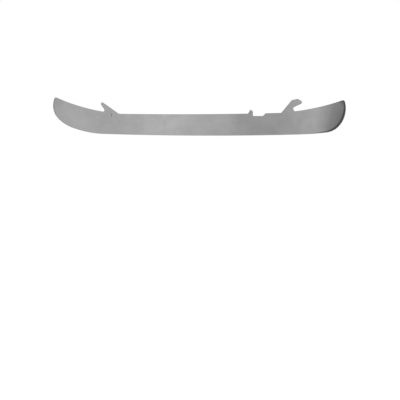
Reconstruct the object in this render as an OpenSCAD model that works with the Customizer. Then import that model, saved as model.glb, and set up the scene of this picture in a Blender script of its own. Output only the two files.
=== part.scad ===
// Hockey skate blade: one flat steel runner that snaps into a skate's blade holder.
// Millimetres. X runs from the toe (-X) to the heel (+X), Y across the steel, Z up into the holder.
// The origin lies on the seat, the top edge between the hooks, halfway along the blade.

/* [Plate] */
// Length from the toe to the heel
blade_length = 272; // [240:1:310]
// Thickness of the steel
steel_thickness = 2.9; // [2.4:0.1:4]
// Height from the running edges to the seat, halfway along the blade
body_height = 19.9; // [17:0.1:24]
// Radius of the seat's shallow hollow curve
seat_radius = 3600; // [2500:50:9000]
// Distance of the seat's lowest point forward of the middle
seat_low_offset = 20; // [0:1:40]

/* [Running edge] */
// Radius of the rocker along the running edges
rocker_radius = 3048; // [2400:1:4000]
// Distance of the rocker's lowest point behind the middle
rocker_low_offset = 11; // [-10:1:25]
// Radius of the hollow ground between the two running edges
hollow_radius = 12.7; // [8:0.1:25.4]
// Steel that the grind takes off along the running edges
grind_stock = 0.05; // [0.04:0.01:0.15]

/* [Toe] */
// Height of the toe's tip above the seat
toe_tip_height = 15.6; // [13:0.1:19]
// Rounding of the toe's tip
toe_tip_radius = 1.5; // [0.5:0.1:3]
// Radius of the toe's nose
toe_nose_radius = 18; // [15:0.5:22]
// Angle below level at which the nose gives way to the cheek
toe_nose_turn = 48; // [30:1:55]
// Radius of the cheek between the nose and the sweep
toe_cheek_radius = 37; // [28:1:46]
// Radius of the sweep from the cheek down to the rocker
toe_sweep_radius = 99; // [80:1:130]
// Distance from the toe's end to the start of the sweep
toe_sweep_length = 48.6; // [44:0.2:56]
// Radius of the hollow curve along the toe's top edge
toe_top_radius = 175; // [140:1:400]

/* [Heel] */
// Height of the heel's tip above the seat
heel_tip_height = 13; // [10:0.1:17]
// Rounding of the heel's tip
heel_tip_radius = 1.8; // [0.5:0.1:3]
// Radius of the heel's back
heel_back_radius = 24.5; // [20:0.5:30]
// Angle below level at which the back gives way to the corner
heel_back_turn = 39; // [25:1:55]
// Radius of the corner between the heel's back and its run-out
heel_corner_radius = 19; // [14:0.5:24]
// Radius of the run-out from the rocker up to the corner
heel_runout_radius = 340; // [250:5:600]
// Distance from the heel's end to the start of the run-out
heel_runout_length = 47; // [40:1:60]
// Radius of the hollow curve along the heel's top edge
heel_top_radius = 220; // [140:1:400]

/* [Front hook] */
// Distance from the toe's end to the corner of the throat
front_throat_setback = 49.3; // [42:0.1:58]
// Height of the throat's corner above the seat
front_throat_height = 1.95; // [1:0.05:3]
// Rounding of the throat's corner
front_throat_radius = 1; // [0.3:0.1:1.3]
// Angle at which the hook's face rises over the throat
front_face_angle = 55.5; // [50:0.5:65]
// Height of the hook's tip above the seat
front_tip_height = 11; // [8.5:0.1:13]
// Radius of the hook's round tip
front_tip_radius = 1.4; // [0.8:0.1:2]
// Angle at which the hook's back falls to the seat
front_back_angle = 35.5; // [30:0.5:45]
// Rounding between the hook's back and the seat
front_foot_radius = 3.7; // [1:0.1:8]

/* [Latch] */
// Distance from the heel's end to the notch's upright wall
notch_setback = 86.4; // [82:0.2:95]
// Depth of the notch below the seat
notch_depth = 2.3; // [1.5:0.1:3.5]
// Length of the notch's floor
notch_length = 9.3; // [7:0.1:11]
// Angle of the ramp at the notch's rear
notch_ramp_angle = 46; // [38:1:70]
// Rounding of the notch's two lower corners
notch_corner_radius = 0.9; // [0.3:0.1:1.5]
// Length of the tab along the seat
tab_length = 4.5; // [4:0.1:7]
// Angle at which the tab's front rises from the seat
tab_front_angle = 60; // [50:1:75]
// Height of the tab's rear corner above the seat
tab_rear_height = 2; // [1:0.1:3]
// Angle at which the tab's top falls to its rear corner
tab_top_angle = 38; // [15:1:45]
// Rounding of the tab's and the ramp's upper corners
latch_edge_radius = 0.5; // [0.2:0.1:0.8]

/* [Rear hook] */
// Distance from the heel's end to the throat's lower corner
rear_throat_setback = 48; // [44:0.5:54]
// Height of the throat's lower corner above the seat
rear_throat_height = 2.6; // [1.5:0.1:3.5]
// Height of the throat between its lower and upper corners
rear_throat_opening = 3.5; // [3:0.1:5]
// Angle at which the throat's wall leans towards the toe
rear_throat_lean = 20; // [0:1:25]
// Rounding of the throat's two corners
rear_throat_radius = 1.5; // [0.3:0.1:1.8]
// Angle at which the beak's underside rises
beak_underside_angle = 25; // [15:1:30]
// Distance from the throat's upper corner to the beak's end
beak_reach = 8.5; // [7:0.1:11]
// Radius of the beak's round end
beak_radius = 1.6; // [1:0.1:2.2]
// Angle at which the beak's top falls to its end
beak_top_angle = 30; // [20:1:40]
// Height of the hook's peak above the seat
rear_peak_height = 14.3; // [13.5:0.1:16]
// Rounding of the hook's peak and of the corner in front of it
rear_peak_radius = 1; // [0.3:0.1:1.5]
// Angle at which the hook's head falls forward from its peak
rear_head_angle = 13; // [5:1:20]
// Distance along the seat from the throat's lower corner to the hook's foot
rear_hook_base = 12.1; // [11:0.1:14]
// Angle at which the hook's front rises from the seat
rear_front_angle = 50.3; // [45:0.1:56]
// Rounding between the hook's front and the seat
rear_foot_radius = 1.5; // [0.5:0.1:4]

/* [Hidden] */

// Largest gap between a drawn curve and the true one
chord_gap = 0.01;
// Largest turn between two points of a rounded corner
corner_step = 12;
// Share of an edge that a corner's rounding may take up
edge_share = 0.98;
// Angle by which the grinding path overruns both ends of the rocker
grind_overrun = 0.4;

// Unit vector at an angle
function direction(angle) = [cos(angle), sin(angle)];

// Angle of a vector, from 0 up to 360
function bearing(vector) = (atan2(vector.y, vector.x) + 360) % 360;

// Points of an arc about a centre, from one angle to another
function arc(centre, radius, start, end) =
    let (step = 2 * acos(1 - chord_gap / radius))
    let (count = max(2, ceil(abs(end - start) / step)))
    [for (i = [0 : count]) centre + radius * direction(start + (end - start) * i / count)];

// A list without its first and last items
function inner(points) = [for (i = [1 : len(points) - 2]) points[i]];

// The point at given distances from p and q, on the left as seen from p to q
function meeting(p, p_distance, q, q_distance) =
    let (span = norm(q - p))
    let (along = (p_distance ^ 2 - q_distance ^ 2 + span ^ 2) / (2 * span))
    let (ahead = (q - p) / span)
    p + along * ahead + sqrt(p_distance ^ 2 - along ^ 2) * [-ahead.y, ahead.x];

// The point where a line through p meets a line through q, each at its own angle
function crossing(p, p_angle, q, q_angle) =
    let (away = q - p)
    let (turn = sin(q_angle - p_angle))
    p + direction(p_angle) * (away.x * sin(q_angle) - away.y * cos(q_angle)) / turn;

// Circles are [centre, radius] pairs. A circle that touches an outer one from inside, at an angle
function touching(outer, radius, angle) = [outer[0] + (outer[1] - radius) * direction(angle), radius];

// Angle at which such a circle touches the outer one's lower side when its centre lies at x
function lower_angle(outer, radius, x) = 270 + asin((x - outer[0].x) / (outer[1] - radius));

// Points along a chain of touching circles, from angle to angle
function chain(circles, angles) =
    [for (i = [0 : len(circles) - 1])
        let (points = arc(circles[i][0], circles[i][1], angles[i], angles[i + 1]))
        for (j = [i == 0 ? 0 : 1 : len(points) - 1]) points[j]];

// A point with the rounding of its corner
function corner(point, radius) = [point.x, point.y, radius];

// Points that are left as they are
function plain(points) = [for (p = points) corner(p, 0)];

// Length along the edge from p to q that the rounding at p may take up
function free_length(p, q) = edge_share * norm([q.x - p.x, q.y - p.y]) * (q.z > 0 ? 0.5 : 1);

// The arc that rounds the corner at p, between its neighbours on the outline
function rounding(before, p, after) =
    let (at = [p.x, p.y])
    let (back = bearing([before.x, before.y] - at))
    let (ahead = bearing([after.x, after.y] - at))
    let (opening = (back - ahead + 540) % 360 - 180)
    let (half = abs(opening) / 2)
    let (tangent = min(p.z / tan(half), free_length(p, before), free_length(p, after)))
    let (centre = at + direction(ahead + opening / 2) * tangent / cos(half))
    let (turn = sign(opening) * (180 - abs(opening)))
    let (start = back + sign(opening) * 90)
    let (count = ceil(abs(turn) / corner_step))
    [for (i = [0 : count]) centre + tangent * tan(half) * direction(start + turn * i / count)];

// The outline with every corner rounded
function rounded(points) =
    let (count = len(points))
    [for (i = [0 : count - 1])
        let (p = points[i])
        for (q = p.z > 0 ? rounding(points[(i + count - 1) % count], p, points[(i + 1) % count])
                         : [[p.x, p.y]]) q];

// Ends of the blade
toe_x = -blade_length / 2;
heel_x = blade_length / 2;

// The seat's circle, which passes through the origin
seat_centre = [-seat_low_offset, sqrt(seat_radius ^ 2 - seat_low_offset ^ 2)];

// Angle on the seat's circle, and point of the seat, at a place along the blade
function seat_angle(x) = 270 + asin((x - seat_centre.x) / seat_radius);
function seat_at(x) = seat_centre + seat_radius * direction(seat_angle(x));

// Points of the seat from one place to another, without the end points
function seat_between(from_x, to_x) =
    inner(arc(seat_centre, seat_radius, seat_angle(from_x), seat_angle(to_x)));

// Where a line down through p at an angle meets the seat
function on_seat(p, angle) =
    let (away = p - seat_centre)
    let (along = away * direction(angle))
    p + direction(angle) * (sqrt(along ^ 2 + seat_radius ^ 2 - away * away) - along);

// The rocker's circle, before the grind
rocker_rise = sqrt(rocker_radius ^ 2 - rocker_low_offset ^ 2);
rocker = [[rocker_low_offset, rocker_rise - body_height], rocker_radius + grind_stock];

// Toe: the sweep leaves the rocker, and the cheek, the nose and the tip follow, each inside the last
toe_sweep_angle = lower_angle(rocker, 0, toe_x + toe_sweep_length);
toe_sweep = touching(rocker, toe_sweep_radius, toe_sweep_angle);
toe_nose_angle = 180 + toe_nose_turn;
toe_cheek_x = toe_x + toe_nose_radius - (toe_cheek_radius - toe_nose_radius) * cos(toe_nose_angle);
toe_cheek_angle = lower_angle(toe_sweep, toe_cheek_radius, toe_cheek_x);
toe_cheek = touching(toe_sweep, toe_cheek_radius, toe_cheek_angle);
toe_nose = touching(toe_cheek, toe_nose_radius, toe_nose_angle);
toe_tip_rise = toe_tip_height - toe_tip_radius - toe_nose[0].y;
toe_tip_angle = 180 - asin(toe_tip_rise / (toe_nose_radius - toe_tip_radius));
toe_tip = touching(toe_nose, toe_tip_radius, toe_tip_angle);

// Heel: the run-out leaves the rocker, and the corner, the back and the tip follow
heel_runout_angle = lower_angle(rocker, 0, heel_x - heel_runout_length);
heel_runout = touching(rocker, heel_runout_radius, heel_runout_angle);
heel_back_angle = 360 - heel_back_turn;
heel_corner_x = heel_x - heel_back_radius - (heel_corner_radius - heel_back_radius) * cos(heel_back_angle);
heel_corner_angle = lower_angle(heel_runout, heel_corner_radius, heel_corner_x);
heel_corner = touching(heel_runout, heel_corner_radius, heel_corner_angle);
heel_back = touching(heel_corner, heel_back_radius, heel_back_angle);
heel_tip_rise = heel_tip_height - heel_tip_radius - heel_back[0].y;
heel_tip_angle = 360 + asin(heel_tip_rise / (heel_back_radius - heel_tip_radius));
heel_tip = touching(heel_back, heel_tip_radius, heel_tip_angle);

// Front hook: its throat, its round tip and the foot of its back
front_throat = [toe_x + front_throat_setback, front_throat_height];
front_tip_rise = front_tip_height - front_tip_radius - front_throat_height;
front_tip_slide = (front_tip_rise - front_tip_radius * cos(front_face_angle)) / sin(front_face_angle);
front_tip_centre = front_throat + front_tip_slide * direction(180 - front_face_angle)
    + front_tip_radius * direction(90 - front_face_angle);
front_back_start = front_tip_centre + front_tip_radius * direction(90 - front_back_angle);
front_foot = on_seat(front_back_start, -front_back_angle);

// Latch: the tab and the notch behind it
notch_x = heel_x - notch_setback;
notch_floor = seat_at(notch_x).y - notch_depth;
notch_front = [notch_x, notch_floor];
notch_rear = [notch_x + notch_length, notch_floor];
ramp_top = on_seat(notch_rear, notch_ramp_angle + 180);
tab_rear = [notch_x, seat_at(notch_x).y + tab_rear_height];
tab_foot = seat_at(notch_x - tab_length);
tab_tip = crossing(tab_foot, tab_front_angle, tab_rear, -tab_top_angle);

// Rear hook: its throat, its beak and its head
rear_throat_low = [heel_x - rear_throat_setback, rear_throat_height];
rear_throat_high = rear_throat_low + rear_throat_opening * [-tan(rear_throat_lean), 1];
beak_slide = (beak_reach - beak_radius + beak_radius * sin(beak_underside_angle)) / cos(beak_underside_angle);
beak_centre = rear_throat_high + beak_slide * direction(beak_underside_angle)
    + beak_radius * direction(beak_underside_angle + 90);
beak_top = beak_centre + beak_radius * direction(90 - beak_top_angle);
rear_peak = crossing(beak_top, -beak_top_angle, [beak_top.x, rear_peak_height], 0);
rear_foot = seat_at(rear_throat_low.x - rear_hook_base);
rear_head = crossing(rear_foot, rear_front_angle, rear_peak, rear_head_angle);

// Hollow curves along the top edges, from each tip down to the nearer throat
toe_top_centre = meeting(toe_tip[0], toe_top_radius + toe_tip_radius, front_throat, toe_top_radius);
heel_top_centre = meeting(rear_throat_low, heel_top_radius, heel_tip[0], heel_top_radius + heel_tip_radius);
toe_top_angle = bearing(toe_top_centre - toe_tip[0]);
heel_top_angle = bearing(heel_top_centre - heel_tip[0]);

// The outline, from the toe's tip along the running edge to the heel and back along the top
running_side = chain(
    [toe_tip, toe_nose, toe_cheek, toe_sweep, rocker, heel_runout, heel_corner, heel_back, heel_tip],
    [toe_top_angle, toe_tip_angle, toe_nose_angle, toe_cheek_angle, toe_sweep_angle,
     heel_runout_angle, heel_corner_angle, heel_back_angle, heel_tip_angle, heel_top_angle + 360]);
heel_top = arc(heel_top_centre, heel_top_radius, heel_top_angle + 180, bearing(rear_throat_low - heel_top_centre));
rear_hook = concat(
    [corner(rear_throat_low, rear_throat_radius), corner(rear_throat_high, rear_throat_radius)],
    plain(arc(beak_centre, beak_radius, beak_underside_angle - 90, 90 - beak_top_angle)),
    [corner(rear_peak, rear_peak_radius), corner(rear_head, rear_peak_radius), corner(rear_foot, rear_foot_radius)]);
latch = [
    corner(ramp_top, latch_edge_radius),
    corner(notch_rear, notch_corner_radius),
    corner(notch_front, notch_corner_radius),
    corner(tab_rear, latch_edge_radius),
    corner(tab_tip, latch_edge_radius),
    corner(tab_foot, latch_edge_radius)];
front_hook = concat(
    [corner(front_foot, front_foot_radius)],
    plain(arc(front_tip_centre, front_tip_radius, 90 - front_back_angle, 270 - front_face_angle)),
    [corner(front_throat, front_throat_radius)]);
toe_top = arc(toe_top_centre, toe_top_radius, bearing(front_throat - toe_top_centre), toe_top_angle + 180);
outline = rounded(concat(
    plain(running_side),
    plain(inner(heel_top)),
    rear_hook,
    plain(seat_between(rear_foot.x, ramp_top.x)),
    latch,
    plain(seat_between(tab_foot.x, front_foot.x)),
    front_hook,
    plain(inner(toe_top))));

// Path of the hollow grind along the rocker
hollow_reach = sqrt(hollow_radius ^ 2 - (steel_thickness / 2) ^ 2);
grind_start = toe_sweep_angle - grind_overrun;
grind_end = heel_runout_angle + grind_overrun;

// The round-faced grinding wheel's sweep along the rocker, which leaves an edge on either side
module hollow_grind() {
    translate([rocker[0].x, 0, rocker[0].y])
        rotate([90, 0, 0])
            rotate_extrude(angle = grind_end - grind_start, start = grind_start, $fn = 3600)
                translate([rocker_radius + hollow_reach, 0])
                    circle(hollow_radius, $fn = 240);
}

// The steel plate, cut to its outline and ground hollow along its running edge
module runner() {
    color("silver")
        difference() {
            rotate([90, 0, 0])
                linear_extrude(steel_thickness, center = true)
                    polygon(outline);
            hollow_grind();
        }
}

runner();
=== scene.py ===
"""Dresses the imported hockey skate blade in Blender: its rounded rims, steel finishes and studio."""

import logging
import math
from collections.abc import Mapping
from dataclasses import dataclass
from enum import Enum

import bpy
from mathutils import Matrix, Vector

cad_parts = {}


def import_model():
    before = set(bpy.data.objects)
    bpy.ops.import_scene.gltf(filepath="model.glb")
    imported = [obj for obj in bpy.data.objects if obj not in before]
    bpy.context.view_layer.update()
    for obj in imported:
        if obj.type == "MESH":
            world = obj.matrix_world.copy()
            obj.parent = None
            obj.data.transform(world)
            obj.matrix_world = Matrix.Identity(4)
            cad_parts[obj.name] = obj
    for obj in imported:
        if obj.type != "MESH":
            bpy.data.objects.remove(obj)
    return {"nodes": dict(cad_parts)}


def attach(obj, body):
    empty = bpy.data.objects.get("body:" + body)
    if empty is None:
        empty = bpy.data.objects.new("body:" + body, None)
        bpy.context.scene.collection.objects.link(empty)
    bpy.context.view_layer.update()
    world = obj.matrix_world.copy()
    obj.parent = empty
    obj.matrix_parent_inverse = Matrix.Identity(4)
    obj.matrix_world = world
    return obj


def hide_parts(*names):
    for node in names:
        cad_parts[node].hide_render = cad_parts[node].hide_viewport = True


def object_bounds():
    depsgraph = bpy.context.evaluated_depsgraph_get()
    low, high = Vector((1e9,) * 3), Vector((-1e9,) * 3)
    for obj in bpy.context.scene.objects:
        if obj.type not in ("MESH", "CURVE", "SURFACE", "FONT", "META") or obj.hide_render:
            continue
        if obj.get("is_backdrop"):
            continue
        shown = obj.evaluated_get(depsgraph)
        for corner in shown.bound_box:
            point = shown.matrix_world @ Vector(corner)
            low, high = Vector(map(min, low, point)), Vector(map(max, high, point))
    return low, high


LOG = logging.getLogger("skate_blade")

# A millimetre, in metres
MM = 0.001
WHITE = (1.0, 1.0, 1.0, 1.0)
# UV map whose direction the brushed gloss follows
GRAIN_MAP = "grain_direction"

Socket = bpy.types.NodeSocket
Triple = tuple[float, float, float]
Value = Socket | float


class Zone(Enum):
    """The kinds of surface on the runner, in the order of its material slots."""

    SATIN_SIDE = 0
    ROUNDED_RIM = 1
    CUT_EDGE = 2
    GROUND_HOLLOW = 3


def reached(value: float, start: float, end: float) -> float:
    """Gives the share of the way from a start to an end that a value has reached, from 0 to 1."""
    return min(1.0, max(0.0, (value - start) / (end - start)))


class Wiring:
    """Adds nodes to one node tree and links them."""

    def __init__(self, tree: bpy.types.NodeTree) -> None:
        """Keeps the tree that is wired."""
        self.tree = tree

    def add(self, kind: str, label: str = "", **settings: object) -> bpy.types.Node:
        """Adds a node.

        Args:
            kind: The node's type, such as "ShaderNodeMath".
            label: Words that say what the node does.
            settings: Properties of the node by name.

        Returns:
            The new node.
        """
        node = self.tree.nodes.new(kind)
        node.label = label
        for name, value in settings.items():
            setattr(node, name, value)
        return node

    def link(self, source: Socket, target: Socket) -> None:
        """Links one socket to another."""
        self.tree.links.new(source, target)

    def feed(self, target: Socket, value: Value | Triple) -> None:
        """Links an input to a socket, or sets its value.

        Args:
            target: The input.
            value: A socket, a number or three numbers.
        """
        if isinstance(value, Socket):
            self.link(value, target)
        else:
            target.default_value = value

    def math(self, operation: str, first: Value, second: Value = 0.0, label: str = "") -> Socket:
        """Adds a calculation with one or two values.

        Args:
            operation: The Math node's operation.
            first: A socket or a number.
            second: A socket or a number.
            label: Words that say what the node does.

        Returns:
            The result's socket.
        """
        node = self.add("ShaderNodeMath", label, operation=operation)
        for target, value in zip(node.inputs, (first, second)):
            self.feed(target, value)
        return node.outputs["Value"]

    def vector(self, operation: str, first: Socket, second: Socket | Triple, label: str) -> Socket:
        """Adds a calculation with two vectors.

        Args:
            operation: The Vector Math node's operation.
            first: A vector's socket.
            second: A vector's socket or its three numbers.
            label: Words that say what the node does.

        Returns:
            The result's socket.
        """
        node = self.add("ShaderNodeVectorMath", label, operation=operation)
        for target, value in zip(node.inputs, (first, second)):
            self.feed(target, value)
        return node.outputs["Vector"]

    def turn(self, place: Socket, angle: Value, label: str, centre: Triple = (0.0, 0.0, 0.0)) -> Socket:
        """Turns places in the plane of the blade.

        Args:
            place: The places.
            angle: The angle, a socket or a number.
            label: Words that say what the node does.
            centre: Place about which they are turned.

        Returns:
            The turned places' socket.
        """
        node = self.add("ShaderNodeVectorRotate", label, rotation_type="Y_AXIS")
        self.feed(node.inputs["Vector"], place)
        self.feed(node.inputs["Angle"], angle)
        self.feed(node.inputs["Center"], centre)
        return node.outputs["Vector"]

    def noise(self, place: Socket, label: str, **values: Value) -> Socket:
        """Adds a noise.

        Args:
            place: Where it is read.
            label: Words that say what the noise stands for.
            values: Its other inputs by name, each a socket or a number. W says which pattern is taken.

        Returns:
            The noise's socket.
        """
        dimensions = "4D" if "W" in values else "3D"
        node = self.add("ShaderNodeTexNoise", label, noise_dimensions=dimensions)
        self.feed(node.inputs["Vector"], place)
        for name, value in values.items():
            self.feed(node.inputs[name], value)
        return node.outputs["Fac"]

    def spread(self, value: Value, lowest: Value, highest: Value, label: str) -> Socket:
        """Maps a value from 0 to 1 onto a range.

        Args:
            value: The value that is mapped.
            lowest: Result at 0, a socket or a number.
            highest: Result at 1, a socket or a number.
            label: Words that say what the node does.

        Returns:
            The result's socket.
        """
        node = self.add("ShaderNodeMapRange", label)
        self.feed(node.inputs["Value"], value)
        self.feed(node.inputs["To Min"], lowest)
        self.feed(node.inputs["To Max"], highest)
        return node.outputs["Result"]

    def step(self, value: Value, start: Value, end: Value, label: str) -> Socket:
        """Rises smoothly from 0 to 1 between two values.

        Args:
            value: The value that is mapped.
            start: Value at which the result is 0, a socket or a number.
            end: Value at which the result is 1, a socket or a number.
            label: Words that say what the node does.

        Returns:
            The result's socket.
        """
        node = self.add("ShaderNodeMapRange", label, interpolation_type="SMOOTHSTEP")
        self.feed(node.inputs["Value"], value)
        self.feed(node.inputs["From Min"], start)
        self.feed(node.inputs["From Max"], end)
        return node.outputs["Result"]


class SteelGroups:
    """The node groups that the steel finishes share: each takes a place and puts out a mask from 0 to 1."""

    # The scale of a noise whose places are stretched already
    PLAIN_SCALE = 1.0
    LINE_DETAIL = 3.0
    LINE_ROUGHNESS = 0.65
    LINE_RANGE = (0.28, 0.72)
    PATCH_DETAIL = 4.0
    PATCH_ROUGHNESS = 0.55
    PATCH_DISTORTION = 0.6
    PATCH_RANGE = (0.3, 0.7)
    SCUFF_STRETCH = (90.0, 400.0, 2600.0)
    SCUFF_DETAIL = 1.0
    SCUFF_RANGE = (0.68, 0.78)

    def __init__(self) -> None:
        """Builds the groups."""
        self.grain = self._grain()
        self.cloud = self._cloud()
        self.scuffs = self._scuffs()
        self.shade = self._shade()

    @staticmethod
    def _start(name: str, vectors: tuple[str, ...] = (),
               numbers: tuple[str, ...] = ()) -> tuple[Wiring, bpy.types.NodeOutputs, Socket]:
        """Starts a group.

        Args:
            name: The group's name.
            vectors: Names of its vector inputs, besides the place.
            numbers: Names of its number inputs.

        Returns:
            Its wiring, what it is given, and the socket that its mask goes to.
        """
        tree = bpy.data.node_groups.new(name, "ShaderNodeTree")
        for label in ("Place", *vectors):
            tree.interface.new_socket(name=label, in_out="INPUT", socket_type="NodeSocketVector")
        for label in numbers:
            tree.interface.new_socket(name=label, in_out="INPUT", socket_type="NodeSocketFloat")
        tree.interface.new_socket(name="Mask", in_out="OUTPUT", socket_type="NodeSocketFloat")
        wiring = Wiring(tree)
        given = wiring.add("NodeGroupInput").outputs
        return wiring, given, wiring.add("NodeGroupOutput").inputs["Mask"]

    def _grain(self) -> bpy.types.NodeTree:
        """Builds the fine grinding lines, stretched along the direction in which the steel was ground.

        Returns:
            The group, which also takes the lines per metre along each axis.
        """
        wiring, given, result = self._start("steel grain", vectors=("Lines Per Metre",))
        stretched = wiring.vector("MULTIPLY", given["Place"], given["Lines Per Metre"], "stretch the lines")
        lines = wiring.noise(stretched, "single lines", Scale=self.PLAIN_SCALE,
                             Detail=self.LINE_DETAIL, Roughness=self.LINE_ROUGHNESS)
        wiring.link(wiring.step(lines, *self.LINE_RANGE, "clear lines"), result)
        return wiring.tree

    def _cloud(self) -> bpy.types.NodeTree:
        """Builds the soft uneven patches of the kind that a satin finish leaves.

        Returns:
            The group, which also takes the patches per metre and a seed.
        """
        wiring, given, result = self._start("steel cloud", numbers=("Patches Per Metre", "Seed"))
        patches = wiring.noise(given["Place"], "patches", W=given["Seed"],
                               Scale=given["Patches Per Metre"], Detail=self.PATCH_DETAIL,
                               Roughness=self.PATCH_ROUGHNESS, Distortion=self.PATCH_DISTORTION)
        wiring.link(wiring.step(patches, *self.PATCH_RANGE, "clear patches"), result)
        return wiring.tree

    def _scuffs(self) -> bpy.types.NodeTree:
        """Builds the sparse hairline scuffs from handling.

        Returns:
            The group, which also takes the scuffs' turn.
        """
        wiring, given, result = self._start("steel scuffs", numbers=("Turn",))
        turned = wiring.turn(given["Place"], given["Turn"], "lean the scuffs")
        stretched = wiring.vector("MULTIPLY", turned, self.SCUFF_STRETCH, "stretch the scuffs")
        hairs = wiring.noise(stretched, "hairlines", Scale=self.PLAIN_SCALE, Detail=self.SCUFF_DETAIL)
        wiring.link(wiring.step(hairs, *self.SCUFF_RANGE, "only a few"), result)
        return wiring.tree

    def _shade(self) -> bpy.types.NodeTree:
        """Builds a soft stretch along the blade, the mask of a painted shade.

        Returns:
            The group, which also takes the stretch's middle, its full and faded distances and its slope.
        """
        wiring, given, result = self._start("steel shade", numbers=("Middle", "Full", "Faded", "Slope"))
        parts = wiring.add("ShaderNodeSeparateXYZ")
        wiring.link(given["Place"], parts.inputs["Vector"])
        lean = wiring.math("MULTIPLY", parts.outputs["Z"], given["Slope"], "lean towards the heel")
        along = wiring.math("SUBTRACT", parts.outputs["X"], lean, "along the blade")
        away = wiring.math("SUBTRACT", along, given["Middle"], "away from the middle")
        distance = wiring.math("ABSOLUTE", away, label="either way")
        wiring.link(wiring.step(distance, given["Faded"], given["Full"], "soft stretch"), result)
        return wiring.tree


@dataclass(frozen=True)
class Nick:
    """A shallow dent that a knock left in one side, darkened with painted shade.

    Attributes:
        middle: Its middle.
        reach: Half its size along each axis.
        lean: Its lean from upright, in degrees.
        depth: Its depth.
        left: Share of the steel's grey that the painted shade leaves in it.
        full: Share of its reach up to which it is full.
    """

    middle: Triple
    reach: Triple
    lean: float
    depth: float
    left: float
    full: float = 0.6

    def mask(self, wiring: Wiring, place: Socket) -> Socket:
        """Marks the nick on the surface.

        Args:
            wiring: The material's wiring.
            place: Coordinates on the object.

        Returns:
            The mask's socket, 1 in the nick.
        """
        turned = wiring.turn(place, math.radians(self.lean), "upright in the nick", self.middle)
        away = wiring.vector("SUBTRACT", turned, self.middle, "away from its middle")
        share = wiring.vector("DIVIDE", away, self.reach, "as a share of its reach")
        length = wiring.add("ShaderNodeVectorMath", "either way", operation="LENGTH")
        wiring.link(share, length.inputs[0])
        return wiring.step(length.outputs["Value"], 1.0, self.full, "the nick")


@dataclass(frozen=True)
class PaintedShade:
    """A soft stretch of the blade darkened with painted shade, in place of darker surroundings reflected in
    the steel.

    Attributes:
        middle: Its middle along the blade.
        full: Distance from the middle up to which it is full.
        faded: Distance at which it has faded out.
        left: Share of the steel's grey that the painted shade leaves where it is full.
        lean: Its lean towards the heel, in degrees.
    """

    middle: float
    full: float
    faded: float
    left: float
    lean: float = 0.0

    def values(self) -> dict[str, float]:
        """Gives the inputs of the shared group by name."""
        slope = math.tan(math.radians(self.lean))
        return {"Middle": self.middle, "Full": self.full, "Faded": self.faded, "Slope": slope}


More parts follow.
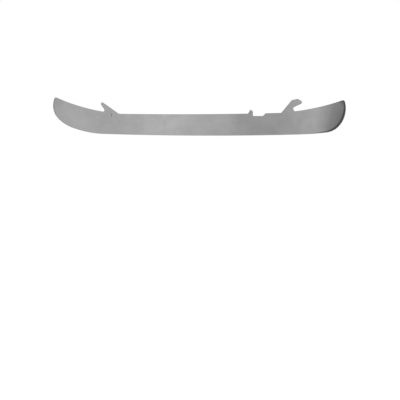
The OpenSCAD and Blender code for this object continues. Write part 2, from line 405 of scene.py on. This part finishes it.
@dataclass(frozen=True)
class SteelFinish:
    """One finish of the steel.

    Attributes:
        name: The material's name.
        darkest: Grey of the finish at its darkest.
        lightest: Grey of the finish at its lightest.
        roughness: Roughness in the middle of its range.
        roughness_spread: Distance of the roughest from the smoothest.
        lines: Grinding lines per metre along X, Y and Z.
        line_depth: Depth of the grinding lines.
        patches: Soft patches per metre.
        seed: Number that says which of the many patterns of patches is taken.
        scuff_turn: Lean of the scuffs, in degrees.
        scuff_strength: How much lighter a scuff is.
        brushed: Anisotropy of the gloss.
        shades: Stretches darkened with painted shade, in place of darker surroundings reflected in the
            steel.
        nick: A dent in the finish, darkened with painted shade, if it has one.
    """

    # Share of the patches in the mix of patches and grinding lines
    PATCHES_IN_GREY = 0.65
    PATCHES_IN_ROUGHNESS = 0.5

    name: str
    darkest: float
    lightest: float
    roughness: float
    roughness_spread: float
    lines: Triple
    line_depth: float
    patches: float
    seed: float
    scuff_turn: float
    scuff_strength: float
    brushed: float
    shades: tuple[PaintedShade, ...] = ()
    nick: Nick | None = None

    def material(self, groups: SteelGroups) -> bpy.types.Material:
        """Builds the finish as a material.

        Args:
            groups: The shared node groups.

        Returns:
            The material.
        """
        material = bpy.data.materials.new(self.name)
        material.use_nodes = True
        wiring = Wiring(material.node_tree)
        place = wiring.add("ShaderNodeTexCoord").outputs["Object"]
        grain = self._group(wiring, groups.grain, place, {"Lines Per Metre": self.lines})
        cloud_values = {"Patches Per Metre": self.patches, "Seed": self.seed}
        cloud = self._group(wiring, groups.cloud, place, cloud_values)
        scuffs = self._group(wiring, groups.scuffs, place, {"Turn": math.radians(self.scuff_turn)})
        grey = self._grey(wiring, grain, cloud, scuffs)
        # Painted shade: stretches darkened where the steel would reflect darker surroundings
        for shade in self.shades:
            mask = self._group(wiring, groups.shade, place, shade.values())
            grey = self._darken(wiring, grey, mask, shade.left)
        height = wiring.math("SUBTRACT", grain, scuffs, "lines less scuffs")
        # The nick is sunk into the relief and darkened with painted shade
        if self.nick:
            mark = self.nick.mask(wiring, place)
            grey = self._darken(wiring, grey, mark, self.nick.left)
            sunk = wiring.math("MULTIPLY", mark, self.nick.depth / self.line_depth, "depth of the nick")
            height = wiring.math("SUBTRACT", height, sunk, "with the nick")
        tangent = wiring.add("ShaderNodeTangent", "along the grain",
                             direction_type="UV_MAP", uv_map=GRAIN_MAP)
        shader = material.node_tree.nodes["Principled BSDF"].inputs
        shader["Metallic"].default_value = 1.0
        shader["Anisotropic"].default_value = self.brushed
        wiring.link(self._neutral(wiring, grey), shader["Base Color"])
        wiring.link(self._roughness(wiring, grain, cloud), shader["Roughness"])
        wiring.link(self._bump(wiring, height), shader["Normal"])
        wiring.link(tangent.outputs["Tangent"], shader["Tangent"])
        return material

    @staticmethod
    def _group(wiring: Wiring, tree: bpy.types.NodeTree, place: Socket,
               values: Mapping[str, float | Triple]) -> Socket:
        """Places one shared group in the material.

        Args:
            wiring: The material's wiring.
            tree: The group.
            place: Coordinates on the object.
            values: Values of the group's other inputs by name.

        Returns:
            The group's mask.
        """
        node = wiring.add("ShaderNodeGroup", tree.name, node_tree=tree)
        wiring.link(place, node.inputs["Place"])
        for name, value in values.items():
            node.inputs[name].default_value = value
        return node.outputs["Mask"]

    @staticmethod
    def _mixed(wiring: Wiring, grain: Socket, cloud: Socket, patch_share: float) -> Socket:
        """Mixes the grinding lines and the soft patches.

        Args:
            wiring: The material's wiring.
            grain: Mask of the grinding lines.
            cloud: Mask of the soft patches.
            patch_share: Share of the patches in the mix.

        Returns:
            The mix's socket.
        """
        patches = wiring.math("MULTIPLY", cloud, patch_share, "share of the patches")
        lines = wiring.math("MULTIPLY", grain, 1.0 - patch_share, "share of the lines")
        return wiring.math("ADD", patches, lines, "patches and lines")

    def _grey(self, wiring: Wiring, grain: Socket, cloud: Socket, scuffs: Socket) -> Socket:
        """Mixes the greys of the finish.

        Args:
            wiring: The material's wiring.
            grain: Mask of the grinding lines.
            cloud: Mask of the soft patches.
            scuffs: Mask of the scuffs.

        Returns:
            The grey's socket.
        """
        mixed = self._mixed(wiring, grain, cloud, self.PATCHES_IN_GREY)
        grey = wiring.spread(mixed, self.darkest, self.lightest, "grey of the steel")
        lighter = wiring.math("MULTIPLY", scuffs, self.scuff_strength, "light in the scuffs")
        return wiring.math("ADD", grey, lighter, "with its scuffs")

    @staticmethod
    def _darken(wiring: Wiring, grey: Socket, mask: Socket, left: float) -> Socket:
        """Darkens a grey by a mask.

        Args:
            wiring: The material's wiring.
            grey: The grey's socket.
            mask: The mask's socket.
            left: Share of the grey that is left where the mask is full.

        Returns:
            The darker grey's socket.
        """
        share = wiring.spread(mask, 1.0, left, "share of the grey that is left")
        return wiring.math("MULTIPLY", grey, share, "darker grey")

    @staticmethod
    def _neutral(wiring: Wiring, grey: Socket) -> Socket:
        """Makes a colour of a grey.

        Args:
            wiring: The material's wiring.
            grey: The grey's socket.

        Returns:
            The colour's socket.
        """
        colour = wiring.add("ShaderNodeCombineColor", "neutral grey")
        for channel in colour.inputs:
            wiring.link(grey, channel)
        return colour.outputs["Color"]

    def _roughness(self, wiring: Wiring, grain: Socket, cloud: Socket) -> Socket:
        """Varies the roughness with the lines and the patches.

        Args:
            wiring: The material's wiring.
            grain: Mask of the grinding lines.
            cloud: Mask of the soft patches.

        Returns:
            The roughness's socket.
        """
        mixed = self._mixed(wiring, grain, cloud, self.PATCHES_IN_ROUGHNESS)
        half = self.roughness_spread / 2
        return wiring.spread(mixed, self.roughness + half, self.roughness - half, "roughness")

    def _bump(self, wiring: Wiring, height: Socket) -> Socket:
        """Turns the height into a normal.

        Args:
            wiring: The material's wiring.
            height: The height's socket, 1 at the depth of a grinding line.

        Returns:
            The normal's socket.
        """
        bump = wiring.add("ShaderNodeBump", "relief of the lines")
        bump.inputs["Strength"].default_value = 1.0
        bump.inputs["Distance"].default_value = self.line_depth
        wiring.link(height, bump.inputs["Height"])
        return bump.outputs["Normal"]


FINISHES: dict[Zone, SteelFinish] = {
    Zone.SATIN_SIDE: SteelFinish(
        name="satin_side", darkest=0.337, lightest=0.413, roughness=0.34, roughness_spread=0.10,
        lines=(45.0, 300.0, 4200.0), line_depth=0.0012 * MM, patches=55.0, seed=12.0,
        scuff_turn=9.0, scuff_strength=0.05, brushed=0.45,
        # Painted shade at the toe, the front hook, the notch, the heel and the heel's tip, in place of dark
        # reflections
        shades=(PaintedShade(middle=-140.0 * MM, full=4.0 * MM, faded=30.0 * MM, left=0.94),
                PaintedShade(middle=-74.0 * MM, full=10.0 * MM, faded=28.0 * MM, left=0.93),
                PaintedShade(middle=58.0 * MM, full=6.0 * MM, faded=56.0 * MM, left=0.80),
                PaintedShade(middle=150.0 * MM, full=25.0 * MM, faded=42.5 * MM, left=0.62, lean=9.0),
                PaintedShade(middle=150.0 * MM, full=12.0 * MM, faded=30.0 * MM, left=0.66, lean=20.0),
                PaintedShade(middle=160.0 * MM, full=15.5 * MM, faded=21.0 * MM, left=0.70, lean=-45.0)),
        # A nick by the front hook, darkened with painted shade
        nick=Nick(middle=(-81.7 * MM, -1.45 * MM, -0.8 * MM), reach=(0.62 * MM, 1.0 * MM, 1.9 * MM),
                  lean=-4.0, depth=0.08 * MM, left=0.55)),
    # The rims' dark grey, darker still at the heel and its tip, is a painted dark reflection in the rounded
    # edges
    Zone.ROUNDED_RIM: SteelFinish(
        name="rounded_rim", darkest=0.15, lightest=0.21, roughness=0.28, roughness_spread=0.14,
        lines=(160.0, 300.0, 900.0), line_depth=0.001 * MM, patches=240.0, seed=0.0,
        scuff_turn=-14.0, scuff_strength=0.06, brushed=0.0,
        shades=(PaintedShade(middle=160.0 * MM, full=27.0 * MM, faded=42.0 * MM, left=0.38, lean=30.0),
                PaintedShade(middle=160.0 * MM, full=15.0 * MM, faded=21.0 * MM, left=0.70, lean=-45.0))),
    Zone.CUT_EDGE: SteelFinish(
        name="cut_edge", darkest=0.31, lightest=0.43, roughness=0.40, roughness_spread=0.16,
        lines=(2600.0, 110.0, 2600.0), line_depth=0.003 * MM, patches=160.0, seed=0.0,
        scuff_turn=25.0, scuff_strength=0.05, brushed=0.0),
    Zone.GROUND_HOLLOW: SteelFinish(
        name="ground_hollow", darkest=0.44, lightest=0.52, roughness=0.22, roughness_spread=0.10,
        lines=(60.0, 5200.0, 60.0), line_depth=0.002 * MM, patches=70.0, seed=0.0,
        scuff_turn=4.0, scuff_strength=0.03, brushed=0.35),
}


@dataclass(frozen=True)
class RimGrowth:
    """Growth of the rims' rounding towards one end of the blade.

    Attributes:
        length: Length along the side that is added at the end.
        below: Places along the blade where it starts and is full on the end and its underside.
        above: The same on the top edge.
        heights: Heights between which it fades out upward. The default lies above the blade.
        upward: Upward parts of a rim's direction at which it counts as top edge and no longer does.
    """

    length: float
    below: tuple[float, float]
    above: tuple[float, float]
    heights: tuple[float, float] = (20.0 * MM, 21.0 * MM)
    upward: tuple[float, float] = (0.9, 0.3)

    def added(self, place: Vector, outward: Vector) -> float:
        """Finds the length that is added to a rim.

        Args:
            place: A place on the rim.
            outward: Direction out of the outline there.

        Returns:
            The length.
        """
        off_top = max(reached(outward.z, *self.upward), reached(place.x, *self.above))
        low = 1.0 - reached(place.z, *self.heights)
        return self.length * off_top * low * reached(place.x, *self.below)


@dataclass
class Runner:
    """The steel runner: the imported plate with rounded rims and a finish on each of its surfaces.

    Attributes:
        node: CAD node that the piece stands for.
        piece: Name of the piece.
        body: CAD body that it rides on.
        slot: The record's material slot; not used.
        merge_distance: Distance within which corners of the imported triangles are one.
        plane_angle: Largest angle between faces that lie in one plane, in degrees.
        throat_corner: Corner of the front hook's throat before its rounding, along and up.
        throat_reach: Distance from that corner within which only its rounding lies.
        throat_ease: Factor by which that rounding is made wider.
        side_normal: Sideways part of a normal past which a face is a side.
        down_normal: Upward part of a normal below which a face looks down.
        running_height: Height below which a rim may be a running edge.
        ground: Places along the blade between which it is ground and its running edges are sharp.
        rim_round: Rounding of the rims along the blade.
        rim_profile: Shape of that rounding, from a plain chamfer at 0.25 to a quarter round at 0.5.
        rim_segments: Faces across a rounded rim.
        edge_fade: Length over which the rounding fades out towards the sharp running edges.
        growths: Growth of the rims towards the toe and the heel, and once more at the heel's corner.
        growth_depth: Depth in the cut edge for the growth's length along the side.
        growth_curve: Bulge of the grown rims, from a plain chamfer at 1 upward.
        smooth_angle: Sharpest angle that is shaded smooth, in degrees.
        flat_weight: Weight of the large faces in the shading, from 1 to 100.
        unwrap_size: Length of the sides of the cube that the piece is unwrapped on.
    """

    # Where the growths at the heel start and are full, below and above
    HEEL_BELOW = (104.0 * MM, 128.0 * MM)
    HEEL_ABOVE = (124.0 * MM, 134.0 * MM)

    node: str = "runner"
    piece: str = "skate_runner"
    body: str = "root"
    slot: str = "steel"
    merge_distance: float = 0.001 * MM
    plane_angle: float = 0.05
    throat_corner: tuple[float, float] = (-86.7 * MM, 1.95 * MM)
    throat_reach: float = 2.6 * MM
    throat_ease: float = 1.45
    side_normal: float = 0.999
    down_normal: float = -0.9
    running_height: float = -10.0 * MM
    ground: tuple[float, float] = (-92.5 * MM, 98.6 * MM)
    rim_round: float = 0.2 * MM
    rim_profile: float = 0.35
    rim_segments: int = 4
    edge_fade: float = 5.0 * MM
    growths: tuple[RimGrowth, ...] = (
        RimGrowth(length=0.6 * MM, below=(-131.0 * MM, -136.0 * MM), above=(-129.0 * MM, -134.5 * MM)),
        RimGrowth(length=1.2 * MM, below=HEEL_BELOW, above=HEEL_ABOVE),
        RimGrowth(length=1.0 * MM, below=HEEL_BELOW, above=HEEL_ABOVE, heights=(0.0, 11.0 * MM)))
    growth_depth: float = 0.38
    growth_curve: float = 1.2
    smooth_angle: float = 40.0
    flat_weight: int = 100
    unwrap_size: float = 300.0 * MM

    def build(self, nodes: dict[str, bpy.types.Object]) -> bpy.types.Object:
        """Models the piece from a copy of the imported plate.

        Args:
            nodes: The frame's CAD nodes by name.

        Returns:
            The finished mesh object.
        """
        runner = self._copy_plate(nodes[self.node])
        self._ease_throat(runner)
        self._mark_zones(runner)
        self._round_rims(runner)
        self._widen_rims(runner)
        self._smooth(runner)
        self._lay_grain(runner)
        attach(runner, self.body)
        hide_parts(self.node)
        return runner

    def dress(self, runner: bpy.types.Object, groups: SteelGroups) -> None:
        """Gives each zone of the runner its finish.

        Args:
            runner: The modelled piece.
            groups: The shared node groups.
        """
        for zone in Zone:
            runner.data.materials[zone.value] = FINISHES[zone].material(groups)

    def _copy_plate(self, plate: bpy.types.Object) -> bpy.types.Object:
        """Copies the plate, merges its loose triangles and joins the faces that lie in one plane.

        Args:
            plate: The CAD node.

        Returns:
            The copy, as the active object in object mode.
        """
        runner = bpy.data.objects.new(self.piece, plate.data.copy())
        runner.data.name = self.piece
        bpy.context.scene.collection.objects.link(runner)
        bpy.ops.object.select_all(action="DESELECT")
        runner.select_set(True)
        bpy.context.view_layer.objects.active = runner
        bpy.ops.object.mode_set(mode="EDIT")
        bpy.ops.mesh.select_all(action="SELECT")
        bpy.ops.mesh.remove_doubles(threshold=self.merge_distance)
        bpy.ops.mesh.dissolve_limited(angle_limit=math.radians(self.plane_angle))
        bpy.ops.object.mode_set(mode="OBJECT")
        return runner

    def _ease_throat(self, runner: bpy.types.Object) -> None:
        """Widens the rounding at the root of the front hook's throat, between the same two edges.

        Args:
            runner: The copied plate.
        """
        corner = Vector((self.throat_corner[0], 0.0, self.throat_corner[1]))
        bpy.ops.object.mode_set(mode="EDIT")
        bpy.ops.mesh.select_all(action="DESELECT")
        bpy.ops.mesh.select_mode(type="VERT")
        bpy.ops.object.mode_set(mode="OBJECT")
        for vertex in runner.data.vertices:
            away = Vector((vertex.co.x, 0.0, vertex.co.z)) - corner
            vertex.select = away.length < self.throat_reach
        bpy.ops.object.mode_set(mode="EDIT")
        bpy.ops.transform.resize(value=(self.throat_ease, 1.0, self.throat_ease), center_override=corner)
        bpy.ops.object.mode_set(mode="OBJECT")

    def _mark_zones(self, runner: bpy.types.Object) -> None:
        """Puts each face in the material slot of its zone.

        Args:
            runner: The copied plate.
        """
        runner.data.materials.clear()
        for _ in Zone:
            runner.data.materials.append(None)
        for face in runner.data.polygons:
            face.material_index = self._zone(face.center, face.normal).value

    def _zone(self, place: Vector, normal: Vector) -> Zone:
        """Tells a side, the ground underside and the rest of the outline's cut edge apart.

        Args:
            place: A face's middle.
            normal: Its normal.

        Returns:
            The face's zone.
        """
        if abs(normal.y) > self.side_normal:
            return Zone.SATIN_SIDE
        underneath = normal.z < self.down_normal and place.z < self.running_height
        if underneath and self.ground[0] < place.x < self.ground[1]:
            return Zone.GROUND_HOLLOW
        return Zone.CUT_EDGE

    def _round_rims(self, runner: bpy.types.Object) -> None:
        """Rounds the rims of both sides evenly, and not at all along the running edges.

        Args:
            runner: The copied plate, with its zones marked.
        """
        mesh = runner.data
        weights = mesh.attributes.new("bevel_weight_edge", "FLOAT", "EDGE")
        for index in self._rims(mesh):
            first, second = (mesh.vertices[i].co for i in mesh.edges[index].vertices)
            weights.data[index].value = self._rounded_share((first + second) / 2)
        bevel = runner.modifiers.new("rounded rims", "BEVEL")
        bevel.limit_method = "WEIGHT"
        bevel.width = self.rim_round
        bevel.segments = self.rim_segments
        bevel.material = Zone.ROUNDED_RIM.value
        bevel.profile = self.rim_profile
        bevel.use_clamp_overlap = False
        bpy.ops.object.modifier_apply(modifier=bevel.name)

    @staticmethod
    def _rims(mesh: bpy.types.Mesh) -> set[int]:
        """Finds the edges at which a side meets the outline's cut edge.

        Args:
            mesh: The mesh, with its zones marked.

        Returns:
            Their indices.
        """
        found: dict[Zone, set[int]] = {zone: set() for zone in Zone}
        for face in mesh.polygons:
            edges = [mesh.loops[loop].edge_index for loop in face.loop_indices]
            found[Zone(face.material_index)].update(edges)
        return found[Zone.SATIN_SIDE] & found[Zone.CUT_EDGE]

    def _rounded_share(self, place: Vector) -> float:
        """Finds the share of the rounding that a rim has.

        Args:
            place: Middle of the rim's edge.

        Returns:
            The share, none along the running edges.
        """
        if place.z > self.running_height:
            return 1.0
        past_ground = max(self.ground[0] - place.x, place.x - self.ground[1])
        return reached(past_ground, 0.0, self.edge_fade)

    def _widen_rims(self, runner: bpy.types.Object) -> None:
        """Draws the rims at both ends out along the sides and down into the cut edge.

        Args:
            runner: The piece with evenly rounded rims.
        """
        mesh = runner.data
        half = max(vertex.co.y for vertex in mesh.vertices)
        rim_faces = (face for face in mesh.polygons if face.material_index == Zone.ROUNDED_RIM.value)
        moved: dict[int, Vector] = {}
        for index in {corner for face in rim_faces for corner in face.vertices}:
            place = mesh.vertices[index].co
            normal = mesh.vertices[index].normal
            outward = Vector((normal.x, 0.0, normal.z)).normalized()
            length = sum(growth.added(place, outward) for growth in self.growths)
            up = reached(half - abs(place.y), self.rim_round, 0.0)
            down = math.copysign(length * self.growth_depth * (1.0 - up), place.y)
            moved[index] = place - outward * length * up ** self.growth_curve - Vector((0.0, down, 0.0))
        for index, place in moved.items():
            mesh.vertices[index].co = place

    def _smooth(self, runner: bpy.types.Object) -> None:
        """Shades the rims smooth and keeps the sides flat.

        Args:
            runner: The piece with its finished rims.
        """
        bpy.ops.object.shade_smooth_by_angle(angle=math.radians(self.smooth_angle))
        flatten = runner.modifiers.new("flat sides", "WEIGHTED_NORMAL")
        flatten.keep_sharp = True
        flatten.weight = self.flat_weight
        bpy.ops.object.modifier_apply(modifier=flatten.name)

    def _lay_grain(self, runner: bpy.types.Object) -> None:
        """Unwraps the piece from six sides, so that the grain on both sides runs along the blade.

        Args:
            runner: The piece with its finished rims.
        """
        while runner.data.uv_layers:
            runner.data.uv_layers.remove(runner.data.uv_layers[0])
        runner.data.uv_layers.new(name=GRAIN_MAP)
        bpy.ops.object.mode_set(mode="EDIT")
        bpy.ops.mesh.select_all(action="SELECT")
        bpy.ops.uv.cube_project(cube_size=self.unwrap_size)
        bpy.ops.object.mode_set(mode="OBJECT")


@dataclass(frozen=True)
class SoftLamp:
    """A square soft lamp that points at the part's origin.

    Attributes:
        name: Its name.
        place: Where it hangs.
        size: Length of its sides.
        power: Its power in watts.
    """

    name: str
    place: Triple
    size: float
    power: float

    def hang(self) -> None:
        """Hangs the lamp."""
        bpy.ops.object.light_add(type="AREA", location=self.place)
        lamp = bpy.context.active_object
        lamp.name = self.name
        lamp.data.size = self.size
        lamp.data.energy = self.power
        lamp.visible_camera = False
        lamp.rotation_euler = (-Vector(self.place)).to_track_quat("-Z", "Y").to_euler()


@dataclass
class Studio:
    """The floor, the light and the camera.

    Attributes:
        picture_width: Width that the picture shows at the blade.
        lens: Focal length of the camera, in millimetres.
        sensor: Width of its sensor, in millimetres.
        aim: Place in the blade's plane at the middle of the picture, along and up.
        view_depth: Distance up to which the camera sees.
        room_light: Strength of the light from all round.
        room_white: Strength at which the room looks white.
        floor_drop: Depth of the floor below the seat.
        floor_size: Length of the floor's sides.
        floor_grey: Grey of the floor.
        floor_roughness: Roughness of the floor.
        floor_lift: Glow that lifts the floor's look to white.
        lamps: The lamps.
    """

    picture_width: float = 371.6 * MM
    lens: float = 135.0
    sensor: float = 36.0
    aim: tuple[float, float] = (0.47 * MM, -79.72 * MM)
    view_depth: float = 50.0
    room_light: float = 0.7
    room_white: float = 1.0
    floor_drop: float = 200.0 * MM
    floor_size: float = 8.0
    floor_grey: float = 0.85
    floor_roughness: float = 0.9
    floor_lift: float = 0.4
    lamps: tuple[SoftLamp, ...] = (
        SoftLamp(name="key_softbox", place=(-0.5, -0.7, 0.7), size=0.6, power=2.0),
        SoftLamp(name="front_softbox", place=(-0.047, -0.15, 0.01), size=0.04, power=0.0031))

    def build(self, side: float) -> None:
        """Sets up the whole studio.

        Args:
            side: Place across the blade of the side that the camera sees.
        """
        scene = bpy.context.scene
        scene.view_settings.view_transform = "Standard"
        self._light_world(scene)
        self._lay_floor()
        for lamp in self.lamps:
            lamp.hang()
        self._place_camera(scene, side)

    @staticmethod
    def _seen(wiring: Wiring) -> Socket:
        """Tells the rays that show the background from those that light the blade.

        Args:
            wiring: The wiring of the world or of the floor's material.

        Returns:
            A socket that is 1 for rays to the camera, off gloss and through glass.
        """
        path = wiring.add("ShaderNodeLightPath").outputs
        shiny = wiring.math("MAXIMUM", path["Is Glossy Ray"], path["Is Transmission Ray"], "shiny rays")
        return wiring.math("MAXIMUM", path["Is Camera Ray"], shiny, "background rays")

    def _light_world(self, scene: bpy.types.Scene) -> None:
        """Makes the world white to look at, and a plain soft light otherwise.

        Args:
            scene: The scene that is lit.
        """
        scene.world = bpy.data.worlds.new("white_room")
        scene.world.use_nodes = True
        wiring = Wiring(scene.world.node_tree)
        background = scene.world.node_tree.nodes["Background"].inputs
        background["Color"].default_value = WHITE
        strength = wiring.spread(self._seen(wiring), self.room_light, self.room_white, "white background")
        wiring.link(strength, background["Strength"])

    def _lay_floor(self) -> None:
        """Lays a pale floor that looks white and keeps the blade's shadow."""
        bpy.ops.mesh.primitive_plane_add(size=self.floor_size, location=(0.0, 0.0, -self.floor_drop))
        floor = bpy.context.active_object
        floor.name = "pale_floor"
        material = bpy.data.materials.new(floor.name)
        material.use_nodes = True
        wiring = Wiring(material.node_tree)
        shader = material.node_tree.nodes["Principled BSDF"].inputs
        shader["Base Color"].default_value = (self.floor_grey, self.floor_grey, self.floor_grey, 1.0)
        shader["Roughness"].default_value = self.floor_roughness
        shader["Specular IOR Level"].default_value = 0.0
        shader["Emission Color"].default_value = WHITE
        glow = wiring.spread(self._seen(wiring), 0.0, self.floor_lift, "up to white")
        wiring.link(glow, shader["Emission Strength"])
        floor.data.materials.append(material)
        floor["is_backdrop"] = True

    def _place_camera(self, scene: bpy.types.Scene, side: float) -> None:
        """Looks straight at the side of the blade, from where it fills the photograph's frame.

        Args:
            scene: The scene that gets the camera.
            side: Place across the blade of the side that the camera sees.
        """
        away = self.picture_width * self.lens / self.sensor
        place = (self.aim[0], side - away, self.aim[1])
        bpy.ops.object.camera_add(location=place, rotation=(math.pi / 2, 0.0, 0.0))
        camera = bpy.context.active_object
        camera.name = "camera"
        camera.data.lens = self.lens
        camera.data.sensor_width = self.sensor
        camera.data.clip_end = self.view_depth
        scene.camera = camera


def box_numbers() -> list[list[float]]:
    """Gives the shown object's lowest and highest corners as plain numbers."""
    return [[float(value) for value in corner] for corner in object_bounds()]


def main() -> None:
    logging.basicConfig(level=logging.INFO, format="%(name)s: %(message)s")
    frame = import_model()
    cad_box = box_numbers()
    blade = Runner()
    runner = blade.build(frame["nodes"])
    blade.dress(runner, SteelGroups())
    LOG.info("%s: %d faces on body %s", runner.name, len(runner.data.polygons), blade.body)
    Studio().build(cad_box[0][1])
    LOG.info("studio: floor, lamps and camera")


if __name__ == "__main__":
    main()
